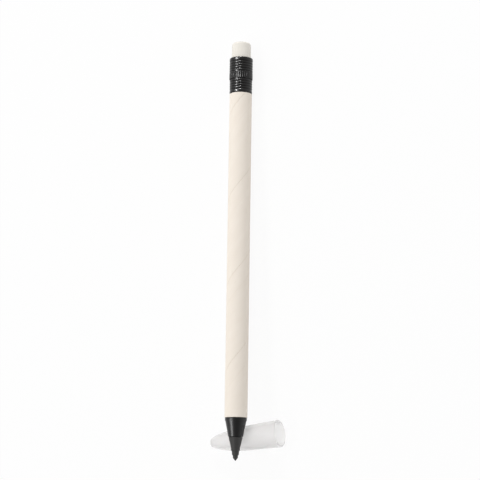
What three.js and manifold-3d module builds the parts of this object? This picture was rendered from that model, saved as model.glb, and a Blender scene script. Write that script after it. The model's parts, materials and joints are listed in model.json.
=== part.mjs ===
// An inkless pencil, laid down with its nose across its own cap.
// Millimetres, +Z up. The pencil points along Y with its eraser towards +Y, and the cap's mouth faces +X.
// The origin is on the surface that it lies on, below the middle of its outline.

import * as THREE from "three";
import { mergeVertices } from "three/addons/utils/BufferGeometryUtils.js";
import Module from "manifold-3d";

const wasm = await Module();
wasm.setup();

// Lengths along the pencil, each as it shows from outside, from the writing point to the eraser
const TIP_LENGTH = 9.3;
const HOLDER_LENGTH = 7.5;
const BARREL_LENGTH = 130.55;
const FERRULE_LENGTH = 14.8;
const ERASER_LENGTH = 6.7;

// Barrel: strips of paper wound over each other as right-hand spirals, with their seams staggered
const BARREL_DIAMETER = 9;
const PLY_COUNT = 4;
const PLY_THICKNESS = 0.3;
const GLUE_LINE = 0.05;
const WINDING_LEAD = 34.55;
const WINDING_START_DEGREES = 37;
const SEAM_WIDTH = 0.2;
const STRIP_END_HEIGHT = 0.4;

// Writing tip: a stepped cone with a worn point, and a stem inside the holder
const TIP_BASE_DIAMETER = 5.5;
const TIP_BASE_CHAMFER = 0.15;
const TIP_COLLAR_DIAMETER = 3.5;
const TIP_COLLAR_LENGTH = 0.9;
const TIP_COLLAR_HEIGHT = 4;
const NIB_BASE_DIAMETER = 2.9;
const NIB_SHOULDER_DIAMETER = 2.65;
const NIB_SHOULDER_HEIGHT = 2.3;
const POINT_DIAMETER = 2;
const POINT_LENGTH = 1.1;
const POINT_EDGE = 0.1;
const WORN_POINT_DIAMETER = 0.3;
const TIP_STEP_HEIGHT = 0.3;
const STEM_DIAMETER = 3;
const STEM_LENGTH = 9;

// Nose holder: a cone with a lip against the barrel, and a spigot inside the barrel
const HOLDER_FRONT_DIAMETER = 5.85;
const HOLDER_CONE_DIAMETER = 8.3;
const HOLDER_LIP_DIAMETER = 8.65;
const HOLDER_LIP_HEIGHT = 1.3;
const HOLDER_LIP_CHAMFER = 0.25;
const HOLDER_SPIGOT_LENGTH = 12;

// Ferrule: a collar with a rounded rim at each end, two groups of rounded rings and a fluted band
const FERRULE_RING_DIAMETER = 9.45;
const FERRULE_LOWER_RING_DIAMETER = 9.15;
const RIM_HEIGHT = 1.75;
const RING_PITCH = 1.05;
const RING_COUNT = 4;
const RING_DEPTH = 0.35;
const GROOVE_WIDTH = 0.35;
const FLUTE_COUNT = 32;
const FLUTE_DEPTH = 0.2;
const FLUTE_END_SLOPE = 0.35;
const FERRULE_SPIGOT_LENGTH = 10;
const FERRULE_SPIGOT_WALL = 0.9;
const FERRULE_FLOOR = 1.4;
const SOCKET_DEPTH = 11;

// Eraser: a round plug, more than half of it inside the ferrule
const ERASER_DIAMETER = 7.7;
const ERASER_ROUNDING = 1.1;

// Cap: a thin sleeve with a slight taper and a bullet-shaped closed end
const CAP_LENGTH = 30;
const CAP_MOUTH_DIAMETER = 10.75;
const CAP_TAPER_DEGREES = 2.1;
const CAP_BULLET_LENGTH = 15.5;
const CAP_END_DIAMETER = 2.7;
const CAP_END_SPREAD = 1.35;
const CAP_END_LIFT = 0.45;
const CAP_BULGE_HEIGHT = 9.3;
const CAP_WALL = 0.6;
const CAP_RIM_CHAMFER = 0.15;

// How the pencil lies on the cap: where they cross, and how far the cap is turned from square
const CROSSING_ON_CAP = 14.2;
const CROSSING_ON_PENCIL = 10.1;
const CAP_TURN_DEGREES = 6.7;

// Clearances between pieces
const SPIGOT_CLEARANCE = 0.1;
const STEM_CLEARANCE = 0.1;
const ERASER_CLEARANCE = 0.1;
const SEAT_CLEARANCE = 0.1;
const REST_CLEARANCE = 0.2;

// Facets
const ROUND_FACETS = 36;
const WINDING_FACETS = 32;
const BULLET_POINTS = 9;
const ROUNDING_POINTS = 3;

const RIGHT_ANGLE = Math.PI / 2;
const FULL_TURN = Math.PI * 2;

// Heights of the joints between the pieces, above the writing point
const holderFront = TIP_LENGTH;
const barrelFront = holderFront + HOLDER_LENGTH;
const barrelBack = barrelFront + BARREL_LENGTH;
const ferruleBack = barrelBack + FERRULE_LENGTH;
const eraserBack = ferruleBack + ERASER_LENGTH;

const barrelWall = PLY_COUNT * PLY_THICKNESS + (PLY_COUNT - 1) * GLUE_LINE;
const barrelBore = BARREL_DIAMETER / 2 - barrelWall;
const spigotRadius = barrelBore - SPIGOT_CLEARANCE;

const materials = {
  paper: new THREE.MeshStandardMaterial({ color: 0xece2d4, roughness: 0.92, metalness: 0 }),
  kraft: new THREE.MeshStandardMaterial({ color: 0xc7a67d, roughness: 0.95, metalness: 0 }),
  blackPlastic: new THREE.MeshStandardMaterial({ color: 0x201f1e, roughness: 0.22, metalness: 0 }),
  graphite: new THREE.MeshStandardMaterial({ color: 0x3d3c3b, roughness: 0.6, metalness: 0.25 }),
  rubber: new THREE.MeshStandardMaterial({ color: 0xeee8e0, roughness: 0.8, metalness: 0 }),
  frosted: new THREE.MeshStandardMaterial({
    color: 0xe3e1dd,
    roughness: 0.45,
    metalness: 0,
    transparent: true,
    opacity: 0.6,
  }),
};

function named(name, geometry, material) {
  const mesh = new THREE.Mesh(geometry, material);
  mesh.name = name;
  return mesh;
}

// A profile of radius and height, turned about the pencil's axis, which is Z.
function turned(profile) {
  const points = profile.map(([radius, height]) => new THREE.Vector2(radius, height));
  return new THREE.LatheGeometry(points, ROUND_FACETS).rotateX(RIGHT_ANGLE);
}

// A quarter-round edge from a wall's top to an end face, as profile points.
function roundedEdge(radius, height, rounding) {
  const arc = new THREE.Path().absarc(radius - rounding, height - rounding, rounding, 0, RIGHT_ANGLE);
  return arc.getPoints(ROUNDING_POINTS).map((point) => [point.x, point.y]);
}

function solidOf(geometry) {
  const bare = geometry.clone();
  bare.deleteAttribute("normal");
  bare.deleteAttribute("uv");
  const merged = mergeVertices(bare);
  return new wasm.Manifold(
    new wasm.Mesh({
      numProp: 3,
      vertProperties: merged.attributes.position.array,
      triVerts: new Uint32Array(merged.index.array),
    }),
  );
}

function geometryOf(solid) {
  const mesh = solid.getMesh();
  const geometry = new THREE.BufferGeometry();
  geometry.setAttribute("position", new THREE.BufferAttribute(mesh.vertProperties, 3));
  geometry.setIndex(new THREE.BufferAttribute(mesh.triVerts, 1));
  const faceted = geometry.toNonIndexed();
  faceted.computeVertexNormals();
  return faceted;
}

// One ply: a strip wound as a right-hand helix, a seam's width short of meeting its own edge,
// and cut square at both ends of the barrel.
function woundPly(innerRadius, phase) {
  const outerRadius = innerRadius + PLY_THICKNESS;
  const stripHeight = WINDING_LEAD - SEAM_WIDTH;
  const angleAt = (height) => (height * FULL_TURN) / WINDING_LEAD;
  const first = angleAt(STRIP_END_HEIGHT - stripHeight);
  const last = angleAt(BARREL_LENGTH - STRIP_END_HEIGHT);
  const step = FULL_TURN / WINDING_FACETS;

  const stops = [first, 0, angleAt(BARREL_LENGTH - stripHeight), last];
  for (let k = Math.ceil((first + phase) / step); k * step < last + phase; k += 1) {
    stops.push(k * step - phase);
  }
  stops.sort((a, b) => a - b);
  const angles = stops.filter((angle, i) => i === 0 || angle - stops[i - 1] > step / 100);

  const positions = [];
  for (const angle of angles) {
    const edge = (angle * WINDING_LEAD) / FULL_TURN;
    const low = barrelFront + Math.max(0, edge);
    const high = barrelFront + Math.min(BARREL_LENGTH, edge + stripHeight);
    const across = Math.cos(angle + phase);
    const along = Math.sin(angle + phase);
    positions.push(innerRadius * across, innerRadius * along, low);
    positions.push(outerRadius * across, outerRadius * along, low);
    positions.push(outerRadius * across, outerRadius * along, high);
    positions.push(innerRadius * across, innerRadius * along, high);
  }

  const corners = 4;
  const faces = [0, 1, 2, 0, 2, 3];
  for (let i = 0; i < angles.length - 1; i += 1) {
    for (let corner = 0; corner < corners; corner += 1) {
      const here = i * corners + corner;
      const beside = i * corners + ((corner + 1) % corners);
      faces.push(here, here + corners, beside + corners);
      faces.push(here, beside + corners, beside);
    }
  }
  const end = (angles.length - 1) * corners;
  faces.push(end + 1, end, end + 3, end + 1, end + 3, end + 2);

  const geometry = new THREE.BufferGeometry();
  geometry.setAttribute("position", new THREE.Float32BufferAttribute(positions, 3));
  geometry.setIndex(faces);
  const faceted = geometry.toNonIndexed();
  faceted.computeVertexNormals();
  return faceted;
}

function barrelPlies() {
  const names = ["inner_paper_ply", "second_paper_ply", "third_paper_ply", "outer_paper_ply"];
  return names.slice(-PLY_COUNT).map((name, i, all) => {
    const innerRadius = barrelBore + i * (PLY_THICKNESS + GLUE_LINE);
    const fromOutside = all.length - 1 - i;
    const phase = THREE.MathUtils.degToRad(WINDING_START_DEGREES) + (fromOutside * FULL_TURN) / PLY_COUNT;
    const material = fromOutside === 0 ? materials.paper : materials.kraft;
    return named(name, woundPly(innerRadius, phase), material);
  });
}

function writingTip() {
  const collar = TIP_COLLAR_DIAMETER / 2;
  const base = TIP_BASE_DIAMETER / 2;
  const stem = STEM_DIAMETER / 2;
  const seat = holderFront - SEAT_CLEARANCE;
  const nib = POINT_DIAMETER / 2;
  const profile = [
    [0, 0],
    [WORN_POINT_DIAMETER / 2, 0],
    [nib - POINT_EDGE, POINT_LENGTH - POINT_EDGE],
    [nib, POINT_LENGTH + POINT_EDGE],
    [nib, NIB_SHOULDER_HEIGHT - TIP_STEP_HEIGHT],
    [NIB_SHOULDER_DIAMETER / 2, NIB_SHOULDER_HEIGHT],
    [NIB_BASE_DIAMETER / 2, TIP_COLLAR_HEIGHT - TIP_STEP_HEIGHT],
    [collar, TIP_COLLAR_HEIGHT],
    [collar, TIP_COLLAR_HEIGHT + TIP_COLLAR_LENGTH],
    [base, seat - TIP_BASE_CHAMFER],
    [base - TIP_BASE_CHAMFER, seat],
    [stem, seat],
    [stem, holderFront + STEM_LENGTH],
    [0, holderFront + STEM_LENGTH],
  ];
  return named("writing_tip", turned(profile), materials.graphite);
}

function noseHolder() {
  const bore = STEM_DIAMETER / 2 + STEM_CLEARANCE;
  const lip = HOLDER_LIP_DIAMETER / 2;
  const lipFront = barrelFront - HOLDER_LIP_HEIGHT;
  const lipBack = barrelFront - SEAT_CLEARANCE;
  const spigotEnd = barrelFront + HOLDER_SPIGOT_LENGTH;
  const profile = [
    [bore, holderFront],
    [HOLDER_FRONT_DIAMETER / 2, holderFront],
    [HOLDER_CONE_DIAMETER / 2, lipFront],
    [lip - HOLDER_LIP_CHAMFER / 2, lipFront],
    [lip, lipFront + HOLDER_LIP_CHAMFER],
    [lip, lipBack],
    [spigotRadius, lipBack],
    [spigotRadius, spigotEnd - HOLDER_LIP_CHAMFER],
    [spigotRadius - HOLDER_LIP_CHAMFER, spigotEnd],
    [bore, spigotEnd],
    [bore, holderFront],
  ];
  return named("nose_holder", turned(profile), materials.blackPlastic);
}

// Where a rim and its rings start and end, measured from the end of the ferrule, with a groove after each.
function ringSpans() {
  const spans = [[0, RIM_HEIGHT - GROOVE_WIDTH]];
  for (let ring = 0; ring < RING_COUNT; ring += 1) {
    const start = RIM_HEIGHT + ring * RING_PITCH;
    spans.push([start, start + RING_PITCH - GROOVE_WIDTH]);
  }
  return spans;
}

// Rounded rings, each half an ellipse in section, as profile points.
function ringGroup(radius, spans) {
  const quarters = 4;
  return spans.flatMap(([start, end]) =>
    Array.from({ length: quarters + 1 }, (_, quarter) => {
      const turn = (Math.PI * quarter) / quarters;
      const height = THREE.MathUtils.lerp(start, end, (1 - Math.cos(turn)) / 2);
      return [radius - RING_DEPTH * (1 - Math.sin(turn)), height];
    }),
  );
}

// The fluted band's outline: a crest and a valley for each flute.
function fluteOutline(crestRadius) {
  const outline = new THREE.Shape();
  const perFlute = 4;
  const count = FLUTE_COUNT * perFlute;
  for (let i = 0; i < count; i += 1) {
    const wave = Math.abs(Math.sin((Math.PI * i) / perFlute));
    const radius = crestRadius - FLUTE_DEPTH * (1 - wave);
    const angle = (FULL_TURN * i) / count;
    const place = new THREE.Vector2(radius * Math.cos(angle), radius * Math.sin(angle));
    if (i === 0) {
      outline.moveTo(place.x, place.y);
    } else {
      outline.lineTo(place.x, place.y);
    }
  }
  outline.closePath();
  return outline;
}

function ferrule() {
  const front = barrelBack + SEAT_CLEARANCE;
  const groupHeight = RIM_HEIGHT + RING_COUNT * RING_PITCH;
  const upperRadius = FERRULE_RING_DIAMETER / 2;
  const lowerRadius = FERRULE_LOWER_RING_DIAMETER / 2;
  const socket = ERASER_DIAMETER / 2 + ERASER_CLEARANCE;
  const socketFloor = ferruleBack - SOCKET_DEPTH;
  const hollow = spigotRadius - FERRULE_SPIGOT_WALL;
  const spigotEnd = barrelBack - FERRULE_SPIGOT_LENGTH;
  const bandFront = front + groupHeight;
  const bandBack = ferruleBack - groupHeight;
  const bandCore = lowerRadius - RING_DEPTH;
  const lowerSpans = ringSpans().map(([start, end]) => [front + start, front + end]);
  const upperSpans = ringSpans().map(([start, end]) => [ferruleBack - end, ferruleBack - start]);
  const body = turned([
    [0, socketFloor - FERRULE_FLOOR],
    [hollow, socketFloor - FERRULE_FLOOR],
    [hollow, spigotEnd],
    [spigotRadius, spigotEnd],
    [spigotRadius, front],
    ...ringGroup(lowerRadius, lowerSpans),
    [bandCore, bandBack],
    ...ringGroup(upperRadius, upperSpans.reverse()),
    [socket, ferruleBack],
    [socket, socketFloor],
    [0, socketFloor],
  ]);

  const outline = fluteOutline(upperRadius - FLUTE_END_SLOPE / 2);
  const inside = (socket + bandCore) / 2;
  outline.holes.push(new THREE.Path().absarc(0, 0, inside, 0, FULL_TURN, true));
  const band = new THREE.ExtrudeGeometry(outline, {
    depth: bandBack - bandFront - 2 * FLUTE_END_SLOPE,
    steps: 1,
    curveSegments: ROUND_FACETS / 2,
    bevelEnabled: true,
    bevelThickness: FLUTE_END_SLOPE,
    bevelSize: FLUTE_END_SLOPE / 2,
    bevelSegments: 1,
  }).translate(0, 0, bandFront + FLUTE_END_SLOPE);
  const joined = geometryOf(solidOf(body).add(solidOf(band)));
  return named("ferrule", joined, materials.blackPlastic);
}

function eraser() {
  const radius = ERASER_DIAMETER / 2;
  const front = ferruleBack - SOCKET_DEPTH + SEAT_CLEARANCE;
  const profile = [
    [0, front],
    [radius, front],
    ...roundedEdge(radius, eraserBack, ERASER_ROUNDING),
    [0, eraserBack],
  ];
  return named("eraser", turned(profile), materials.rubber);
}

const capTaper = THREE.MathUtils.degToRad(CAP_TAPER_DEGREES);

function capRadiusAt(distance) {
  return CAP_MOUTH_DIAMETER / 2 - (CAP_LENGTH - distance) * Math.tan(capTaper);
}

// The cap stands on its closed end here. Its bullet is a curve from the flat end, spread by two control
// points, and its inner wall runs a wall's thickness inside its outer one.
function cap() {
  const endRadius = CAP_END_DIAMETER / 2;
  const shoulder = capRadiusAt(CAP_BULLET_LENGTH);
  const bulge = shoulder - (CAP_BULLET_LENGTH * Math.tan(capTaper)) / 2;
  const bullet = new THREE.CubicBezierCurve(
    new THREE.Vector2(endRadius, 0),
    new THREE.Vector2(endRadius + CAP_END_SPREAD, CAP_END_LIFT),
    new THREE.Vector2(bulge, CAP_BULGE_HEIGHT),
    new THREE.Vector2(shoulder, CAP_BULLET_LENGTH),
  );
  const outer = [];
  const inner = [];
  for (let i = 0; i <= BULLET_POINTS; i += 1) {
    const share = i / BULLET_POINTS;
    const point = bullet.getPoint(share);
    const tangent = bullet.getTangent(share);
    outer.push([point.x, point.y]);
    inner.push([point.x - tangent.y * CAP_WALL, point.y + tangent.x * CAP_WALL]);
  }
  const mouth = CAP_MOUTH_DIAMETER / 2;
  const profile = [
    [0, 0],
    ...outer,
    [capRadiusAt(CAP_LENGTH - CAP_RIM_CHAMFER), CAP_LENGTH - CAP_RIM_CHAMFER],
    [mouth - CAP_RIM_CHAMFER, CAP_LENGTH],
    [mouth - CAP_WALL, CAP_LENGTH],
    ...inner.reverse(),
    [0, CAP_WALL],
  ];
  return named("cap", turned(profile), materials.frosted);
}

// The cap lies on its tapered side, so its axis climbs towards the mouth.
const capEndHeight = (CAP_MOUTH_DIAMETER / 2) * Math.cos(capTaper) - CAP_LENGTH * Math.sin(capTaper);
const capAxisHeight = capEndHeight + CROSSING_ON_CAP * Math.sin(capTaper);

// The holder's cone rests across the cap, and the ferrule's last rim on the surface below.
const coneHeight = HOLDER_LENGTH - HOLDER_LIP_HEIGHT;
const coneRise = (HOLDER_CONE_DIAMETER - HOLDER_FRONT_DIAMETER) / 2;
const coneAngle = Math.atan2(coneRise, coneHeight);
const coneRadius = HOLDER_FRONT_DIAMETER / 2 + (CROSSING_ON_PENCIL - holderFront) * Math.tan(coneAngle);
const reach = capRadiusAt(CROSSING_ON_CAP) + REST_CLEARANCE;
const crossing = {
  along: CROSSING_ON_PENCIL - reach * Math.sin(coneAngle),
  below: coneRadius + reach * Math.cos(coneAngle),
};
const foot = { along: ferruleBack - (RIM_HEIGHT - GROOVE_WIDTH) / 2, below: FERRULE_RING_DIAMETER / 2 };
const span = foot.along - crossing.along;
const drop = crossing.below - foot.below;
const tilt = Math.atan2(drop, span) + Math.asin(capAxisHeight / Math.hypot(span, drop));

const pencil = new THREE.Group();
pencil.add(writingTip(), noseHolder(), ...barrelPlies(), ferrule(), eraser());
pencil.rotation.x = -(RIGHT_ANGLE + tilt);
pencil.position.y = crossing.below * Math.sin(tilt) - crossing.along * Math.cos(tilt);
pencil.position.z = foot.below * Math.cos(tilt) + foot.along * Math.sin(tilt);

const lyingCap = new THREE.Group();
lyingCap.add(cap());
lyingCap.rotation.y = RIGHT_ANGLE - capTaper;
lyingCap.position.set(-CROSSING_ON_CAP * Math.cos(capTaper), 0, capEndHeight);

const turnedCap = new THREE.Group();
turnedCap.add(lyingCap);
turnedCap.rotation.z = THREE.MathUtils.degToRad(CAP_TURN_DEGREES);

const assembly = new THREE.Group();
assembly.add(pencil, turnedCap);
const outline = new THREE.Box3().setFromObject(assembly, true);
const middle = outline.getCenter(new THREE.Vector3());
assembly.position.set(-middle.x, -middle.y, -outline.min.z);

const inklessPencil = new THREE.Group();
inklessPencil.add(assembly);

export default inklessPencil;
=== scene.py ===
import json
from math import cos, pi, radians, sin, tan

import bmesh
import bpy
from mathutils import Matrix, Vector


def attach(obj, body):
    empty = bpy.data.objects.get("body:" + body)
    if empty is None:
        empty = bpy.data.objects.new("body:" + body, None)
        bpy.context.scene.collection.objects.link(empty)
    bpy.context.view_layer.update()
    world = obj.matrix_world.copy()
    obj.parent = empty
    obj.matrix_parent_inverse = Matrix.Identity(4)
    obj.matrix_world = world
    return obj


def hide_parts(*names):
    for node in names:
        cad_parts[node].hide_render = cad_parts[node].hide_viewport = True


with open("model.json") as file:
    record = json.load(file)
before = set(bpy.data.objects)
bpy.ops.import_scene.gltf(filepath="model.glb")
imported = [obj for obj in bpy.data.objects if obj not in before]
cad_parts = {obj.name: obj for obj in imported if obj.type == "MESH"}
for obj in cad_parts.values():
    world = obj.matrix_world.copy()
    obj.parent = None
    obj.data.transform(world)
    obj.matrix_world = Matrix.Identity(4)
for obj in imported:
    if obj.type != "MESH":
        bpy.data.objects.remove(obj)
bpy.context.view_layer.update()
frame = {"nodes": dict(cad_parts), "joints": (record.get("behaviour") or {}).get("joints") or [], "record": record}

# Camera: it looks down on the laid pencil, leaning to the side that the cap's mouth faces.
# It stands 0.7 m away behind a long lens, so the barrel hardly narrows towards the nose.
MM = 0.001
AIM = Vector((-0.69, 3.121, 8.0)) * MM
DISTANCE = 699.1 * MM
LEAN_TO_MOUTH = radians(23.15)
LEAN_TO_NOSE = radians(7.16)
ROLL = radians(0.36)
FOCAL_LENGTH = 131.25
SENSOR_WIDTH = 36

to_camera = Vector((sin(LEAN_TO_MOUTH), -tan(LEAN_TO_NOSE), cos(LEAN_TO_MOUTH))).normalized()
across_view = Vector((0, 1, 0)).cross(to_camera).normalized()
up_view = to_camera.cross(across_view)
axes = Matrix((across_view, up_view, to_camera)).transposed()

lens = bpy.data.cameras.new("camera")
lens.lens = FOCAL_LENGTH
lens.sensor_width = SENSOR_WIDTH
lens.clip_end = 20
camera = bpy.data.objects.new("camera", lens)
camera.matrix_world = Matrix.Translation(AIM + to_camera * DISTANCE) @ (
    Matrix.Rotation(-ROLL, 3, to_camera) @ axes
).to_4x4()
bpy.context.scene.collection.objects.link(camera)
bpy.context.scene.camera = camera
bpy.context.scene.view_settings.view_transform = "Standard"


# Floor: a seamless white studio sweep. The camera sees it partly lit from below, as a light table is,
# so the shadows on it stay faint.
class Shade:
    """A socket in a node tree. Arithmetic on it adds Math nodes."""

    def __init__(self, tree, socket=None):
        self.tree = tree
        self.socket = socket

    def node(self, kind, settings=(), inputs=(), output=0):
        """Adds a node: its settings first, then the values or links of its sockets."""
        made = self.tree.nodes.new("ShaderNode" + kind)
        for name, value in dict(settings).items():
            if name == "stops":
                ramp = made.color_ramp.elements
                while len(ramp) < len(value):
                    ramp.new(1)
                for stop, (position, grey) in zip(ramp, value):
                    stop.position = position
                    stop.color = (grey, grey, grey, 1)
            else:
                setattr(made, name, value)
        for name, value in dict(inputs).items():
            if isinstance(value, Shade):
                self.tree.links.new(value.socket, made.inputs[name])
            else:
                made.inputs[name].default_value = value
        return Shade(self.tree, made.outputs[output] if made.outputs else None)

    def math(self, operation, first, second=0.0):
        return self.node("Math", {"operation": operation}, {0: first, 1: second})

    def __add__(self, other):
        return self.math("ADD", self, other)

    def __sub__(self, other):
        return self.math("SUBTRACT", self, other)

    def __rsub__(self, other):
        return self.math("SUBTRACT", other, self)

    def __mul__(self, other):
        return self.math("MULTIPLY", self, other)

    def __truediv__(self, other):
        return self.math("DIVIDE", self, other)

    def __rtruediv__(self, other):
        return self.math("DIVIDE", other, self)

    __radd__ = __add__
    __rmul__ = __mul__


def new_finish(name):
    """An empty material, and the Shade that its nodes are added through."""
    material = bpy.data.materials.new(name)
    material.use_nodes = True
    material.node_tree.nodes.clear()
    return material, Shade(material.node_tree)


FLOOR_SIDE = 6
FLOOR_GREY = 0.92
FLOOR_GLOW = 1.0
GLOW_SHARE = 0.92

floor_finish, shade = new_finish("studio_floor")
seen = shade.node("LightPath", output="Is Camera Ray")
mirrored = shade.node("LightPath", output="Is Glossy Ray")
through = shade.node("LightPath", output="Is Transmission Ray")
direct = shade.math("MINIMUM", seen + mirrored + through, 1.0)
sweep = shade.node("BsdfDiffuse", inputs={"Color": (FLOOR_GREY, FLOOR_GREY, FLOOR_GREY, 1)})
glow = shade.node("Emission", inputs={"Strength": FLOOR_GLOW})
lit = shade.node("MixShader", inputs={0: direct * GLOW_SHARE, 1: sweep, 2: glow})
shade.node("OutputMaterial", inputs={"Surface": lit})

shape = bmesh.new()
bmesh.ops.create_grid(shape, x_segments=1, y_segments=1, size=FLOOR_SIDE / 2)
mesh = bpy.data.meshes.new("floor")
shape.to_mesh(mesh)
shape.free()
mesh.materials.append(floor_finish)
floor = bpy.data.objects.new("floor", mesh)
bpy.context.scene.collection.objects.link(floor)

# Studio: pale walls all round with a darker ceiling about the camera, and two softboxes. The long one stands
# on the side away from the cap's mouth, and the small one behind the eraser.
WALLS = 0.90
CEILING = 0.42
CEILING_EDGE = 0.95
WALLS_EDGE = 0.45

world = bpy.data.worlds.new("studio")
bpy.context.scene.world = world
world.use_nodes = True
world.node_tree.nodes.clear()
shade = Shade(world.node_tree)
direction = shade.node("TexCoord", output="Generated")
nearness = shade.node(
    "VectorMath", {"operation": "DOT_PRODUCT"}, {0: direction, 1: to_camera}, output="Value"
)
brightness = shade.node(
    "MapRange",
    {"interpolation_type": "SMOOTHSTEP"},
    {
        "Value": nearness,
        "From Min": WALLS_EDGE,
        "From Max": CEILING_EDGE,
        "To Min": WALLS,
        "To Max": CEILING,
    },
)
backdrop = shade.node("Background", inputs={"Strength": brightness})
shade.node("OutputWorld", inputs={"Surface": backdrop})


def softbox(name, aside, lengthways, distance, width, length, watts):
    """A rectangular light, turned to the pencil and placed by its angles in degrees from the camera."""
    aside = radians(aside)
    lengthways = radians(lengthways)
    towards = (
        to_camera * cos(aside) * cos(lengthways)
        - across_view * sin(aside) * cos(lengthways)
        + up_view * sin(lengthways)
    )
    lamp = bpy.data.lights.new(name, "AREA")
    lamp.shape = "RECTANGLE"
    lamp.size = width
    lamp.size_y = length
    lamp.energy = watts
    box = bpy.data.objects.new(name, lamp)
    across = towards.cross(up_view).normalized()
    box.matrix_world = Matrix.Translation(towards * distance) @ Matrix(
        (across, towards.cross(across), towards)
    ).transposed().to_4x4()
    bpy.context.scene.collection.objects.link(box)
    return box


softbox("key_light", aside=49, lengthways=0, distance=0.9, width=0.20, length=0.95, watts=2.4)
softbox("hair_light", aside=18, lengthways=62, distance=1.0, width=0.14, length=0.14, watts=3.0)

# Eraser: a round plug of off-white rubber, cut from a moulded rod. Its longer half is glued in the
# ferrule's socket, and its free edge is rounded.
WELD_DISTANCE = 0.0005
SHARP_ANGLE = 32

rest = frame["record"]["mounts"][0]
pencil_axis = Vector(rest["axis"]).normalized()


def reach(node, origin, axis):
    """Where a CAD node starts and ends along an axis, in mm from the origin."""
    along = [(corner.co - origin).dot(axis) / MM for corner in frame["nodes"][node].data.vertices]
    return min(along), max(along)


def place_of(origin, axis):
    """The matrix that stands a piece drawn in mm, up its own Z, on an origin along an axis."""
    beside = (Vector((1, 0, 0)) - axis * axis.x).normalized()
    turn = Matrix((beside, axis.cross(beside), axis)).transposed().to_4x4()
    return Matrix.Translation(origin) @ turn @ Matrix.Scale(MM, 4)


tip_start, tip_end = reach("writing_tip", Vector(rest["pos_m"]), pencil_axis)
writing_point = Vector(rest["pos_m"]) + pencil_axis * tip_start * MM
pencil_place = place_of(writing_point, pencil_axis)


def arc(radius, height, rounding, start, end, steps=6):
    """Points of a rounded corner, by its centre, its radius and the angles between which it runs."""
    turns = [radians(start + (end - start) * step / steps) for step in range(steps + 1)]
    return [(radius + rounding * cos(turn), height + rounding * sin(turn)) for turn in turns]


def turned(name, outline, place, facets=96, hollow=False):
    """A piece turned from an outline of (radius, height), which is closed on itself if hollow."""
    shape = bmesh.new()
    corners = [shape.verts.new((radius, 0, height)) for radius, height in outline]
    for first, second in zip(corners, corners[1:]):
        shape.edges.new((first, second))
    if hollow:
        shape.edges.new((corners[-1], corners[0]))
    bmesh.ops.spin(
        shape,
        geom=shape.verts[:] + shape.edges[:],
        cent=(0, 0, 0),
        axis=(0, 0, 1),
        angle=2 * pi,
        steps=facets,
        use_merge=True,
    )
    bmesh.ops.remove_doubles(shape, verts=shape.verts, dist=WELD_DISTANCE)
    bmesh.ops.recalc_face_normals(shape, faces=shape.faces)
    return settled(name, shape, place)


def settled(name, shape, place):
    """Puts a shape in its place in the frame as an object, smooth apart from its sharp edges."""
    bmesh.ops.transform(shape, matrix=place, verts=shape.verts)
    mesh = bpy.data.meshes.new(name)
    shape.to_mesh(mesh)
    shape.free()
    mesh.shade_smooth()
    mesh.set_sharp_from_angle(angle=radians(SHARP_ANGLE))
    piece = bpy.data.objects.new(name, mesh)
    bpy.context.scene.collection.objects.link(piece)
    return piece


ERASER_DIAMETER = 7.7
ERASER_ROUNDING = 1.15
RUBBER_COLOUR = (0.87, 0.835, 0.77, 1)
RUBBER_STAIN = (0.81, 0.77, 0.695, 1)

eraser_front, eraser_end = reach("eraser", writing_point, pencil_axis)
radius = ERASER_DIAMETER / 2
plug = turned(
    "eraser_plug",
    [(0, eraser_front), (radius, eraser_front)]
    + arc(radius - ERASER_ROUNDING, eraser_end - ERASER_ROUNDING, ERASER_ROUNDING, 0, 90, 10)
    + [(radius / 2, eraser_end), (0, eraser_end)],
    pencil_place,
)

rubber, shade = new_finish("eraser_rubber")
position = shade.node("TexCoord", output="Object")
grain = shade.node("TexNoise", inputs={"Vector": position, "Scale": 5200, "Detail": 4, "Roughness": 0.6})
cloud = shade.node("TexNoise", inputs={"Vector": position, "Scale": 420, "Detail": 2, "Roughness": 0.5})
tint = shade.node(
    "Mix", {"data_type": "RGBA"}, {0: cloud * 0.7 - 0.15, 6: RUBBER_COLOUR, 7: RUBBER_STAIN}, output=2
)
pits = shade.node("Bump", inputs={"Strength": 0.25, "Distance": 0.03 * MM, "Height": grain})
surface = shade.node(
    "BsdfPrincipled",
    inputs={
        "Base Color": tint,
        "Roughness": 0.66 + grain * 0.22,
        "Specular IOR Level": 0.35,
        "Normal": pits,
    },
)
shade.node("OutputMaterial", inputs={"Surface": surface})
plug.data.materials.append(rubber)
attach(plug, "pencil")
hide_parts("eraser")

# Ferrule: a collar moulded in glossy black plastic. Each end has a rim and a group of flat-crested rings,
# with a band of fine upright reeds between them. A long spigot is glued inside the barrel.
RING_DIAMETER = 9.45
LOWER_RING_DIAMETER = 9.15
RIM_HEIGHT = 1.75
RING_PITCH = 1.05
RING_COUNT = 4
RING_DEPTH = 0.35
GROOVE_WIDTH = 0.35
GROOVE_FALL = 0.06
CREST_FLATNESS = 0.4
RING_STEPS = 16
COLLAR_FACETS = 120
REED_COUNT = 32
REED_SIDES = 20
REED_DEPTH = 0.16
SOCKET_DIAMETER = 7.9
SOCKET_LIP = 0.18
FERRULE_SPIGOT_DIAMETER = 6.1
FERRULE_SPIGOT_BORE = 4.3
SPIGOT_EDGE = 0.25
SEAT = 0.1
SOCKET_FLOOR_THICKNESS = 1.4
BLACK_COLOUR = (0.0050, 0.0047, 0.0045, 1)
GLINT_DISTANCE = 0.94

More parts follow.
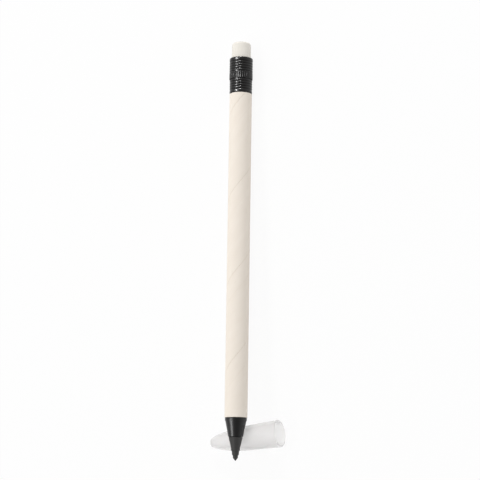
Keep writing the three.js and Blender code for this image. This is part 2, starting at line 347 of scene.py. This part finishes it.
spigot_end, ferrule_end = reach("ferrule", writing_point, pencil_axis)
barrel_front, barrel_back = reach("outer_paper_ply", writing_point, pencil_axis)
collar_front = barrel_back + SEAT
group_height = RIM_HEIGHT + RING_COUNT * RING_PITCH
reeds_front = collar_front + group_height
reeds_back = ferrule_end - group_height
ring_spans = [(0, RIM_HEIGHT - GROOVE_WIDTH)] + [
    (RIM_HEIGHT + ring * RING_PITCH, RIM_HEIGHT + (ring + 1) * RING_PITCH - GROOVE_WIDTH)
    for ring in range(RING_COUNT)
]


def rings(diameter, spans):
    """Rings between their start and end heights, with flat crests, round shoulders and V grooves between."""
    foot = diameter / 2 - RING_DEPTH + GROOVE_FALL
    points = []
    for start, end in spans:
        if points:
            points.append((foot - GROOVE_FALL, (points[-1][1] + start) / 2))
        for step in range(RING_STEPS + 1):
            turn = pi * step / RING_STEPS
            swell = max(sin(turn), 0) ** CREST_FLATNESS
            height = start + (end - start) * (1 - cos(turn)) / 2
            points.append((foot + (RING_DEPTH - GROOVE_FALL) * swell, height))
    return points


socket_floor = eraser_front - SEAT
collar = turned(
    "ferrule_collar",
    [
        (0, socket_floor - SOCKET_FLOOR_THICKNESS),
        (FERRULE_SPIGOT_BORE / 2, socket_floor - SOCKET_FLOOR_THICKNESS),
        (FERRULE_SPIGOT_BORE / 2, spigot_end),
        (FERRULE_SPIGOT_DIAMETER / 2 - SPIGOT_EDGE, spigot_end),
        (FERRULE_SPIGOT_DIAMETER / 2, spigot_end + SPIGOT_EDGE),
        (FERRULE_SPIGOT_DIAMETER / 2, collar_front),
    ]
    + rings(LOWER_RING_DIAMETER, [(collar_front + start, collar_front + end) for start, end in ring_spans])
    + rings(RING_DIAMETER, [(ferrule_end - end, ferrule_end - start) for start, end in ring_spans[::-1]])
    + arc(SOCKET_DIAMETER / 2 + SOCKET_LIP, ferrule_end - SOCKET_LIP, SOCKET_LIP, 90, 180)
    + [(SOCKET_DIAMETER / 2, socket_floor), (0, socket_floor)],
    pencil_place,
    facets=COLLAR_FACETS,
)

shape = bmesh.new()
half_pitch = pi * RING_DIAMETER / 2 / REED_COUNT
bmesh.ops.create_cone(
    shape,
    cap_ends=True,
    segments=REED_SIDES,
    radius1=half_pitch,
    radius2=half_pitch,
    depth=reeds_back - reeds_front,
)
ends = [edge for edge in shape.edges if abs(edge.verts[0].co.z - edge.verts[1].co.z) < SEAT]
bmesh.ops.bevel(
    shape,
    geom=ends,
    offset=REED_DEPTH,
    offset_type="OFFSET",
    affect="EDGES",
    segments=3,
    profile=0.5,
    material=-1,
)
bmesh.ops.scale(shape, vec=(REED_DEPTH / half_pitch, 1, 1), verts=shape.verts)
middle = (reeds_front + reeds_back) / 2
bmesh.ops.translate(shape, vec=(RING_DIAMETER / 2 - REED_DEPTH, 0, middle), verts=shape.verts)
bmesh.ops.spin(
    shape,
    geom=shape.verts[:] + shape.edges[:] + shape.faces[:],
    cent=(0, 0, 0),
    axis=(0, 0, 1),
    angle=2 * pi * (REED_COUNT - 1) / REED_COUNT,
    steps=REED_COUNT - 1,
    use_duplicate=True,
)
bmesh.ops.recalc_face_normals(shape, faces=shape.faces)
reeds = settled("ferrule_reeds", shape, pencil_place)


def black_plastic(name, wave_scale, haze_scale, ripple_strength, roughness, haze_depth, ior):
    """Moulded black plastic: slightly wavy, and glossy with a faint haze."""
    finish, shade = new_finish(name)
    position = shade.node("TexCoord", output="Object")
    waviness = shade.node(
        "TexNoise", inputs={"Vector": position, "Scale": wave_scale, "Detail": 2, "Roughness": 0.5}
    )
    haze = shade.node(
        "TexNoise", inputs={"Vector": position, "Scale": haze_scale, "Detail": 3, "Roughness": 0.65}
    )
    ripple = shade.node(
        "Bump", inputs={"Strength": ripple_strength, "Distance": 0.02 * MM, "Height": waviness}
    )
    surface = shade.node(
        "BsdfPrincipled",
        inputs={
            "Base Color": BLACK_COLOUR,
            "Roughness": roughness + haze * haze_depth,
            "IOR": ior,
            "Normal": ripple,
        },
    )
    shade.node("OutputMaterial", inputs={"Surface": surface})
    return finish


def glint_light(name, aside, lengthways, size, watts, piece):
    """A square lamp that lights one piece alone, for the glints on it."""
    lamp = softbox(name, aside, lengthways, GLINT_DISTANCE, size, size, watts)
    lamp.light_linking.receiver_collection = bpy.data.collections.new(name)
    lamp.light_linking.receiver_collection.objects.link(piece)


ribbed_black = black_plastic(
    "ribbed_black_plastic",
    wave_scale=900,
    haze_scale=2600,
    ripple_strength=0.10,
    roughness=0.27,
    haze_depth=0.04,
    ior=1.42,
)
glint_light("crest_light", aside=47.5, lengthways=27, size=0.05, watts=9, piece=collar)
glint_light("groove_light", aside=13, lengthways=65, size=0.05, watts=4, piece=collar)
glint_light("reed_light", aside=27, lengthways=27, size=0.05, watts=4, piece=reeds)
for piece in (collar, reeds):
    piece.data.materials.append(ribbed_black)
    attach(piece, "pencil")
    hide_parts("ferrule")

# Paper barrel: four strips of paper wound over each other as right-hand spirals and glued. Three are brown
# kraft, and the outer one is a cream facing paper whose edges meet in a fine butt seam.
BARREL_DIAMETER = 9
FACING_THICKNESS = 0.3
WINDING_LEAD = 34.55
WINDING_START = radians(37)
SEAM_GAP = 0.05
STRIP_EDGE = 0.05
TURN_FACETS = 120
STRIP_ROWS = 16
CUT_MARGIN = 0.0001
FIBRES_ALONG = 0.35
FIBRES_ACROSS = 2.2
SEAM_REACH = 0.22
NEXT_SEAM = 0.75
NEXT_SEAM_REACH = 0.5
CREAM_COLOUR = (0.93, 0.855, 0.765, 1)
CREAM_SHADE = (0.87, 0.785, 0.685, 1)
FIBRE_COLOUR = (0.62, 0.50, 0.37, 1)
KRAFT_COLOUR = (0.56, 0.38, 0.20, 1)
KRAFT_FIBRE = (0.42, 0.26, 0.12, 1)

outer = BARREL_DIAMETER / 2
inner = outer - FACING_THICKNESS
strip_height = WINDING_LEAD - SEAM_GAP
winding_length = barrel_back - barrel_front
turns = winding_length / WINDING_LEAD + 1

shape = bmesh.new()
section = (
    [(inner, 0)]
    + arc(outer - STRIP_EDGE, STRIP_EDGE, STRIP_EDGE, -90, 0, 3)
    + [
        (outer, STRIP_EDGE * 2 + (strip_height - STRIP_EDGE * 4) * row / STRIP_ROWS)
        for row in range(STRIP_ROWS + 1)
    ]
    + arc(outer - STRIP_EDGE, strip_height - STRIP_EDGE, STRIP_EDGE, 0, 90, 3)
    + [(inner, strip_height)]
)
corners = [shape.verts.new((across, 0, along - WINDING_LEAD)) for across, along in section]
shape.faces.new(corners)
steps = int(turns * TURN_FACETS) + 1
bmesh.ops.spin(
    shape,
    geom=shape.verts[:] + shape.edges[:] + shape.faces[:],
    cent=(0, 0, 0),
    axis=(0, 0, 1),
    dvec=(0, 0, WINDING_LEAD / TURN_FACETS),
    angle=2 * pi * steps / TURN_FACETS,
    steps=steps,
)
for height, outwards in ((0, -1), (winding_length, 1)):
    cut = bmesh.ops.bisect_plane(
        shape,
        geom=shape.verts[:] + shape.edges[:] + shape.faces[:],
        dist=CUT_MARGIN,
        plane_co=(0, 0, height),
        plane_no=(0, 0, outwards),
        clear_outer=True,
    )
    rim = [part for part in cut["geom_cut"] if isinstance(part, bmesh.types.BMEdge)]
    bmesh.ops.edgenet_fill(shape, edges=rim)
bmesh.ops.rotate(shape, cent=(0, 0, 0), matrix=Matrix.Rotation(WINDING_START, 3, "Z"), verts=shape.verts)
bmesh.ops.translate(shape, vec=(0, 0, barrel_front), verts=shape.verts)
bmesh.ops.recalc_face_normals(shape, faces=shape.faces)
facing = settled("facing_paper", shape, pencil_place)


def strip_position(shade):
    """How far a point lies along and across the wound strip, in mm, from its place on the barrel."""
    position = shade.node("TexCoord", output="Object")
    lying = pencil_place.to_euler()
    foot = pencil_place @ Vector((0, 0, barrel_front))
    local = shade.node(
        "Mapping",
        {"vector_type": "TEXTURE"},
        {"Vector": position, "Location": foot, "Rotation": lying, "Scale": (MM, MM, MM)},
    )
    x = shade.node("SeparateXYZ", inputs={0: local}, output=0)
    y = shade.node("SeparateXYZ", inputs={0: local}, output=1)
    height = shade.node("SeparateXYZ", inputs={0: local}, output=2)
    turn = shade.math("ARCTAN2", y, x) / (2 * pi) - WINDING_START / (2 * pi)
    strips = height / WINDING_LEAD - turn
    whole = shade.math("FLOOR", strips)
    across = (strips - whole) * WINDING_LEAD
    along = (turn + whole) * (pi * BARREL_DIAMETER)
    return along, across


cream, shade = new_finish("cream_facing_paper")
along, across = strip_position(shade)
lay = shade.node("CombineXYZ", inputs={0: along * FIBRES_ALONG, 1: across * FIBRES_ACROSS})
fibres = shade.node("TexNoise", inputs={"Vector": lay, "Scale": 3.4, "Detail": 5, "Roughness": 0.62})
flecks = shade.node("TexNoise", inputs={"Vector": lay, "Scale": 1.3, "Detail": 2, "Roughness": 0.4})
fleck = shade.node("ValToRGB", {"stops": ((0.66, 0), (0.78, 1))}, {0: flecks})
flat = shade.node("CombineXYZ", inputs={0: along, 1: across})
clouds = shade.node("TexNoise", inputs={"Vector": flat, "Scale": 0.22, "Detail": 3, "Roughness": 0.55})
edge = shade.math("MINIMUM", across, WINDING_LEAD - across)
seam = shade.node(
    "MapRange",
    {"interpolation_type": "SMOOTHSTEP"},
    {"Value": edge, "From Max": SEAM_REACH, "To Min": 1, "To Max": 0},
)
under = shade.math("ABSOLUTE", across - WINDING_LEAD * NEXT_SEAM)
print_through = shade.node(
    "MapRange",
    {"interpolation_type": "SMOOTHSTEP"},
    {"Value": under, "From Max": NEXT_SEAM_REACH, "To Min": 1, "To Max": 0},
)
shading = clouds - 0.3 + print_through * 0.25
tone = shade.node("Mix", {"data_type": "RGBA"}, {0: shading, 6: CREAM_COLOUR, 7: CREAM_SHADE}, output=2)
tint = shade.node(
    "Mix", {"data_type": "RGBA"}, {0: fleck * 0.16 + seam * 0.32, 6: tone, 7: FIBRE_COLOUR}, output=2
)
relief = fibres * 0.6 + clouds * 0.3 - print_through * 0.6 - seam * 1.4
tooth = shade.node("Bump", inputs={"Strength": 0.35, "Distance": 0.03 * MM, "Height": relief})
surface = shade.node(
    "BsdfPrincipled",
    inputs={
        "Base Color": tint,
        "Roughness": 0.80 + fibres * 0.15,
        "Specular IOR Level": 0.25,
        "Normal": tooth,
    },
)
shade.node("OutputMaterial", inputs={"Surface": surface})
facing.data.materials.append(cream)
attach(facing, "pencil")
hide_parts("outer_paper_ply")

kraft, shade = new_finish("brown_kraft_paper")
along, across = strip_position(shade)
lay = shade.node("CombineXYZ", inputs={0: along * FIBRES_ALONG, 1: across * FIBRES_ACROSS})
fibres = shade.node("TexNoise", inputs={"Vector": lay, "Scale": 2.6, "Detail": 5, "Roughness": 0.65})
tint = shade.node(
    "Mix", {"data_type": "RGBA"}, {0: fibres * 1.6 - 0.4, 6: KRAFT_COLOUR, 7: KRAFT_FIBRE}, output=2
)
tooth = shade.node("Bump", inputs={"Strength": 0.4, "Distance": 0.03 * MM, "Height": fibres})
surface = shade.node(
    "BsdfPrincipled",
    inputs={"Base Color": tint, "Roughness": 0.9, "Specular IOR Level": 0.2, "Normal": tooth},
)
shade.node("OutputMaterial", inputs={"Surface": surface})
for node in ("inner_paper_ply", "second_paper_ply", "third_paper_ply"):
    frame["nodes"][node].material_slots[0].material = kraft

# Nose holder: a smooth hollow cone moulded in the same black plastic as the ferrule. Its lip meets the
# barrel's cut end, and its spigot is glued inside the barrel.
HOLDER_FRONT_DIAMETER = 5.85
HOLDER_CONE_DIAMETER = 8.3
LIP_DIAMETER = 8.65
LIP_HEIGHT = 1.3
LIP_ROUNDING = 0.22
FRONT_ROUNDING = 0.12
HOLDER_BORE = 3.2
HOLDER_SPIGOT_DIAMETER = 6.1

holder_front, holder_end = reach("nose_holder", writing_point, pencil_axis)
lip_front = barrel_front - LIP_HEIGHT
lip_back = barrel_front - SEAT
front_radius = HOLDER_FRONT_DIAMETER / 2
holder = turned(
    "nose_cone",
    [(HOLDER_BORE / 2, holder_front)]
    + arc(front_radius - FRONT_ROUNDING, holder_front + FRONT_ROUNDING, FRONT_ROUNDING, -90, 0, 4)
    + [
        (HOLDER_CONE_DIAMETER / 2, lip_front),
        (LIP_DIAMETER / 2 - LIP_ROUNDING / 2, lip_front),
        (LIP_DIAMETER / 2, lip_front + LIP_ROUNDING),
        (LIP_DIAMETER / 2, lip_back),
        (HOLDER_SPIGOT_DIAMETER / 2, lip_back),
        (HOLDER_SPIGOT_DIAMETER / 2, holder_end - SPIGOT_EDGE),
        (HOLDER_SPIGOT_DIAMETER / 2 - SPIGOT_EDGE, holder_end),
        (HOLDER_BORE / 2, holder_end),
    ],
    pencil_place,
    hollow=True,
)

smooth_black = black_plastic(
    "smooth_black_plastic",
    wave_scale=700,
    haze_scale=3000,
    ripple_strength=0.12,
    roughness=0.29,
    haze_depth=0.10,
    ior=1.45,
)
glint_light("cone_light", aside=55, lengthways=-16, size=0.3, watts=3, piece=holder)
holder.data.materials.append(smooth_black)
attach(holder, "pencil")
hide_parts("nose_holder")

# Writing tip: a rod of graphite and metal alloy, turned to a stepped cone and rubbed to a blunt point by
# writing. Its stem is pressed into the holder.
TIP_BASE_DIAMETER = 5.5
TIP_BASE_CHAMFER = 0.15
TIP_COLLAR_DIAMETER = 3.5
TIP_COLLAR_LENGTH = 0.9
TIP_COLLAR_HEIGHT = 4
NIB_BASE_DIAMETER = 2.9
NIB_SHOULDER_DIAMETER = 2.65
NIB_SHOULDER_HEIGHT = 2.3
POINT_DIAMETER = 2
POINT_LENGTH = 1.1
POINT_EDGE = 0.1
WORN_POINT_DIAMETER = 0.3
WORN_ROUNDING = 0.1
STEP_HEIGHT = 0.3
STEM_DIAMETER = 3
TOOL_MARK_PITCH = 0.16
WORN_HEIGHT = 1.3
ALLOY_COLOUR = (0.058, 0.057, 0.055, 1)
ALLOY_DARK = (0.030, 0.029, 0.028, 1)
ALLOY_WORN = (0.085, 0.083, 0.080, 1)

stem_end = tip_end - tip_start
seat = holder_front - SEAT
point_radius = POINT_DIAMETER / 2
tip = turned(
    "alloy_tip",
    [(0, 0)]
    + arc(WORN_POINT_DIAMETER / 2 - WORN_ROUNDING, WORN_ROUNDING, WORN_ROUNDING, -90, -40, 4)
    + [
        (point_radius - POINT_EDGE, POINT_LENGTH - POINT_EDGE),
        (point_radius, POINT_LENGTH + POINT_EDGE),
        (point_radius, NIB_SHOULDER_HEIGHT - STEP_HEIGHT),
        (NIB_SHOULDER_DIAMETER / 2, NIB_SHOULDER_HEIGHT),
        (NIB_BASE_DIAMETER / 2, TIP_COLLAR_HEIGHT - STEP_HEIGHT),
        (TIP_COLLAR_DIAMETER / 2, TIP_COLLAR_HEIGHT),
        (TIP_COLLAR_DIAMETER / 2, TIP_COLLAR_HEIGHT + TIP_COLLAR_LENGTH),
        (TIP_BASE_DIAMETER / 2, seat - TIP_BASE_CHAMFER),
        (TIP_BASE_DIAMETER / 2 - TIP_BASE_CHAMFER, seat),
        (STEM_DIAMETER / 2, seat),
        (STEM_DIAMETER / 2, stem_end),
        (0, stem_end),
    ],
    pencil_place,
)

alloy, shade = new_finish("graphite_alloy")
position = shade.node("TexCoord", output="Object")
local = shade.node(
    "Mapping",
    {"vector_type": "TEXTURE"},
    {
        "Vector": position,
        "Location": writing_point,
        "Rotation": pencil_place.to_euler(),
        "Scale": (MM, MM, MM),
    },
)
height = shade.node("SeparateXYZ", inputs={0: local}, output=2)
grain = shade.node("TexNoise", inputs={"Vector": local, "Scale": 9, "Detail": 4, "Roughness": 0.7})
specks = shade.node("TexVoronoi", inputs={"Vector": local, "Scale": 7})
tool_marks = shade.math("SINE", height * (2 * pi / TOOL_MARK_PITCH) + grain * 5)
worn = shade.node(
    "MapRange", inputs={"Value": height + grain * 0.5, "From Max": WORN_HEIGHT, "To Min": 1, "To Max": 0}
)
tone = shade.node("Mix", {"data_type": "RGBA"}, {0: grain, 6: ALLOY_DARK, 7: ALLOY_COLOUR}, output=2)
tint = shade.node("Mix", {"data_type": "RGBA"}, {0: worn * 0.6, 6: tone, 7: ALLOY_WORN}, output=2)
relief = grain * 0.7 + tool_marks * 0.12 + specks * 0.3
turning = shade.node("Bump", inputs={"Strength": 0.45, "Distance": 0.02 * MM, "Height": relief})
surface = shade.node(
    "BsdfPrincipled",
    inputs={
        "Base Color": tint,
        "Metallic": 0.25,
        "Roughness": 0.50 - worn * 0.12 + grain * 0.1,
        "Normal": turning,
    },
)
shade.node("OutputMaterial", inputs={"Surface": surface})
tip.data.materials.append(alloy)
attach(tip, "pencil")
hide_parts("writing_tip")

# Cap: a thin sleeve moulded in frosted, see-through plastic, with a bullet-shaped closed end. It is off the
# pencil, and lies on its tapered side below the nose, so its axis climbs towards the mouth.
CAP_LENGTH = 30
MOUTH_DIAMETER = 10.75
CAP_TAPER = radians(2.1)
BULLET_LENGTH = 15.5
CLOSED_END_DIAMETER = 2.7
END_SPREAD = 1.35
END_LIFT = 0.45
BULGE_HEIGHT = 9.3
CAP_WALL = 0.6
RIM_ROUNDING = 0.15
RIM_REACH = 5
BULLET_STEPS = 28
CAP_FACETS = 120
FROSTED_COLOUR = (0.96, 0.948, 0.942, 1)

draw = Vector(frame["joints"][0]["axis"])
cap_axis = draw * cos(CAP_TAPER) + Vector((0, 0, sin(CAP_TAPER)))
corners = [corner.co for corner in frame["nodes"]["cap"].data.vertices]
farthest = max(corner.dot(draw) for corner in corners)
rim = [corner for corner in corners if corner.dot(draw) > farthest - RIM_REACH * MM]
mouth_height = max(corner.dot(cap_axis) for corner in rim)
mouth_centre = sum(rim, Vector()) / len(rim)
mouth_centre += cap_axis * (mouth_height - mouth_centre.dot(cap_axis))
cap_place = place_of(mouth_centre - cap_axis * CAP_LENGTH * MM, cap_axis)


def cap_radius(distance):
    """The outer radius of the tapered sleeve at a distance from its closed end, in mm."""
    return MOUTH_DIAMETER / 2 - (CAP_LENGTH - distance) * tan(CAP_TAPER)


shoulder = cap_radius(BULLET_LENGTH)
bullet = [
    Vector((CLOSED_END_DIAMETER / 2, 0)),
    Vector((CLOSED_END_DIAMETER / 2 + END_SPREAD, END_LIFT)),
    Vector((shoulder - BULLET_LENGTH * tan(CAP_TAPER) / 2, BULGE_HEIGHT)),
    Vector((shoulder, BULLET_LENGTH)),
]
outside = []
inside = []
for step in range(BULLET_STEPS + 1):
    share = step / BULLET_STEPS
    left = 1 - share
    weights = (left**3, 3 * left**2 * share, 3 * left * share**2, share**3)
    point = sum((spot * weight for spot, weight in zip(bullet, weights)), Vector((0, 0)))
    legs = [second - first for first, second in zip(bullet, bullet[1:])]
    tangent = (legs[0] * left**2 + legs[1] * 2 * left * share + legs[2] * share**2).normalized()
    outside.append(tuple(point))
    inside.append((point.x - tangent.y * CAP_WALL, point.y + tangent.x * CAP_WALL))
mouth = MOUTH_DIAMETER / 2
sleeve = turned(
    "cap_sleeve",
    [(0, 0)]
    + outside
    + arc(mouth - RIM_ROUNDING, CAP_LENGTH - RIM_ROUNDING, RIM_ROUNDING, 0, 90, 4)
    + arc(mouth - CAP_WALL + RIM_ROUNDING, CAP_LENGTH - RIM_ROUNDING, RIM_ROUNDING, 90, 180, 4)
    + inside[::-1]
    + [(0, CAP_WALL)],
    cap_place,
    facets=CAP_FACETS,
)

frosted, shade = new_finish("frosted_plastic")
position = shade.node("TexCoord", output="Object")
frost = shade.node("TexNoise", inputs={"Vector": position, "Scale": 5000, "Detail": 3, "Roughness": 0.6})
flow = shade.node("TexNoise", inputs={"Vector": position, "Scale": 260, "Detail": 2, "Roughness": 0.5})
texture = shade.node("Bump", inputs={"Strength": 0.25, "Distance": 0.02 * MM, "Height": frost + flow})
surface = shade.node(
    "BsdfPrincipled",
    inputs={
        "Base Color": FROSTED_COLOUR,
        "Roughness": 0.50 + flow * 0.10,
        "IOR": 1.3,
        "Transmission Weight": 0.6,
        "Alpha": 0.5,
        "Normal": texture,
    },
)
shade.node("OutputMaterial", inputs={"Surface": surface})
sleeve.data.materials.append(frosted)
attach(sleeve, "cap")
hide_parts("cap")
